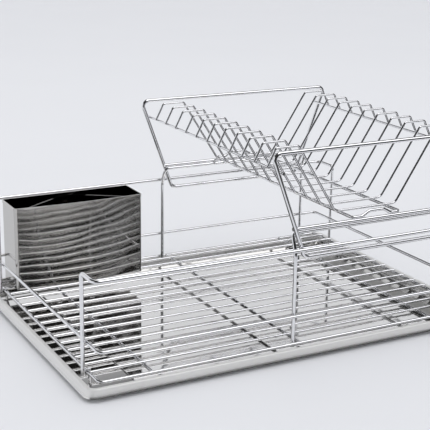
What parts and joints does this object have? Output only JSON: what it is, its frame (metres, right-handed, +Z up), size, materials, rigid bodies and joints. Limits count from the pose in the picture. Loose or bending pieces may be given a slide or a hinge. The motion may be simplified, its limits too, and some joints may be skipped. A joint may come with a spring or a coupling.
{
  "type": "dish drying rack",
  "caption": "Two-level wire dish drying rack with a drip tray, a lift-off upper plate rack on arches and a sheet metal cutlery holder.",
  "frame": {"origin": "middle of the tray's underside, on the table", "axes": "+X along the rack towards the upper plate rack, +Y from the front to the back where the cutlery holder stands, +Z up"},
  "size_m": [0.48, 0.343, 0.2188],
  "materials": {
    "rack_wire": "bright chrome-plated steel wire",
    "tray_sheet": "mirror-polished stainless steel sheet",
    "holder_sheet": "polished stainless steel sheet"
  },
  "bodies": {
    "tray": {"drip_tray": "tray_sheet"},
    "rack": {"lower_loop": "rack_wire", "middle_loop": "rack_wire", "front_top_rail": "rack_wire", "back_top_rail": "rack_wire", "front_arch": "rack_wire", "back_arch": "rack_wire", "floor_wires": "rack_wire", "floor_cross_bars": "rack_wire", "rack_feet": "rack_wire"},
    "upper_rack": {"front_end_frame": "rack_wire", "back_end_frame": "rack_wire", "front_hanging_bar": "rack_wire", "back_hanging_bar": "rack_wire", "plate_wires": "rack_wire", "left_plate_rail": "rack_wire", "right_plate_rail": "rack_wire", "plate_base_frame": "rack_wire"},
    "cutlery_holder": {"cutlery_box": "holder_sheet", "cutlery_divider": "holder_sheet"}
  },
  "joints": [
    {"name": "rack_lift", "type": "slide", "parent": "tray", "child": "rack", "axis": [0, 0, 1], "range_m": [0, 0.03]},
    {"name": "upper_rack_lift", "type": "slide", "parent": "rack", "child": "upper_rack", "axis": [0, 0, 1], "range_m": [0, 0.06]},
    {"name": "cutlery_lift", "type": "slide", "parent": "rack", "child": "cutlery_holder", "axis": [0, 0, 1], "range_m": [0, 0.11]}
  ]
}
